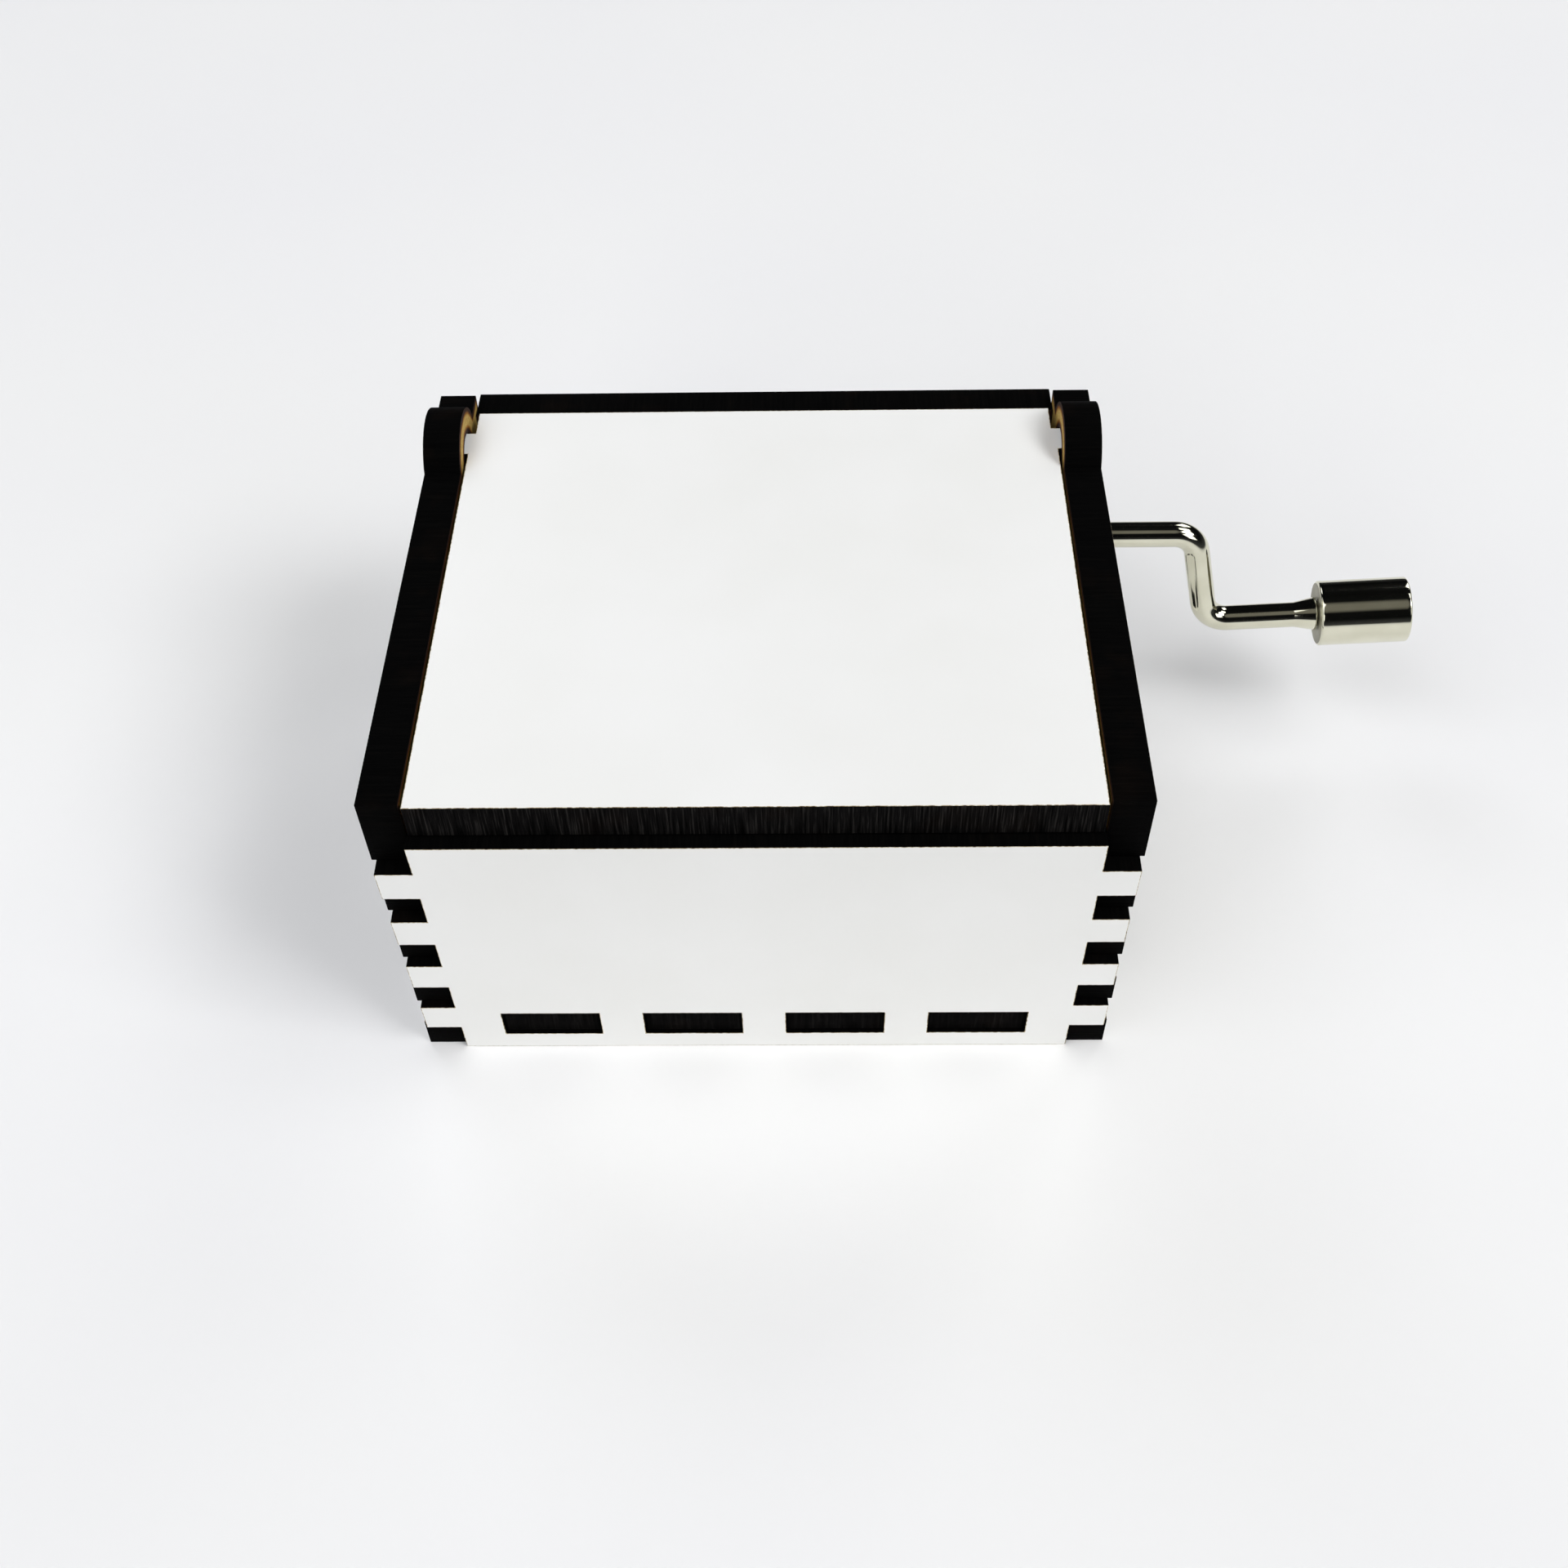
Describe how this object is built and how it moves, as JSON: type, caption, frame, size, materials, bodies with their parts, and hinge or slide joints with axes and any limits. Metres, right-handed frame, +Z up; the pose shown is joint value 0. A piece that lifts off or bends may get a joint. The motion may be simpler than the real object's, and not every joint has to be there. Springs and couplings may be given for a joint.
{
  "type": "hand-crank cylinder music box",
  "caption": "White finger-jointed box with a pivoting lid and a bent-wire side crank; inside, a worm turns a pinned cylinder that plucks a steel comb.",
  "frame": {"origin": "on the surface the box stands on, under the middle of the whole part, crank included", "axes": "+X to the crank, +Y from the front panel to the back panel, +Z up"},
  "size_m": [0.0986, 0.0561, 0.0391],
  "materials": {
    "coated_board": "white satin coat on laser-cut fibreboard with charred edges",
    "cast_zinc": "die-cast, matt grey",
    "steel_plate": "stamped, zinc plated",
    "screw_steel": "turned, bright zinc plated",
    "spring_steel": "ground, fine grain along the teeth",
    "lead": "dull, cast",
    "brass": "turned, light lacquer",
    "gear_brass": "hobbed",
    "ground_steel": "turned and ground",
    "nickel_plate": "polished nickel plate"
  },
  "bodies": {
    "case": {"left_side_panel": "coated_board", "right_side_panel": "coated_board", "front_panel": "coated_board", "back_panel": "coated_board", "bottom_panel": "coated_board", "movement_base": "cast_zinc", "base_screws": "screw_steel", "comb": "spring_steel", "comb_leads": "lead", "comb_screws": "screw_steel", "front_bearing_plate": "steel_plate", "rear_bearing_plate": "steel_plate", "left_worm_post": "steel_plate", "right_worm_post": "steel_plate", "left_worm_bush": "brass", "right_worm_bush": "brass"},
    "lid": {"lid": "coated_board"},
    "crank": {"worm_shaft": "ground_steel", "crank_wire": "nickel_plate"},
    "knob": {"crank_knob": "nickel_plate"},
    "cylinder": {"cylinder_drum": "brass", "drum_front_cap": "brass", "drum_rear_cap": "brass", "cylinder_arbor": "ground_steel", "worm_wheel": "gear_brass"}
  },
  "joints": [
    {"name": "lid_hinge", "type": "hinge", "parent": "case", "child": "lid", "pos_m": [-0.01715, 0.01889, 0.03423], "axis": [-1, 0, 0], "range_deg": [0, 150]},
    {"name": "crank_turn", "type": "hinge", "parent": "case", "child": "crank", "pos_m": [0, 0.01845, 0.02392], "axis": [1, 0, 0], "continuous": true},
    {"name": "knob_spin", "type": "hinge", "parent": "crank", "child": "knob", "pos_m": [0.04008, 0.01595, 0.01501], "axis": [0.9951, -0.0336, 0.0926], "continuous": true},
    {"name": "cylinder_turn", "type": "hinge", "parent": "case", "child": "cylinder", "pos_m": [-0.00635, 0, 0.01574], "axis": [0, 1, 0], "continuous": true}
  ],
  "couplings": [
    {"joint": "cylinder_turn", "follows": "crank_turn", "ratio": -0.0625}
  ]
}
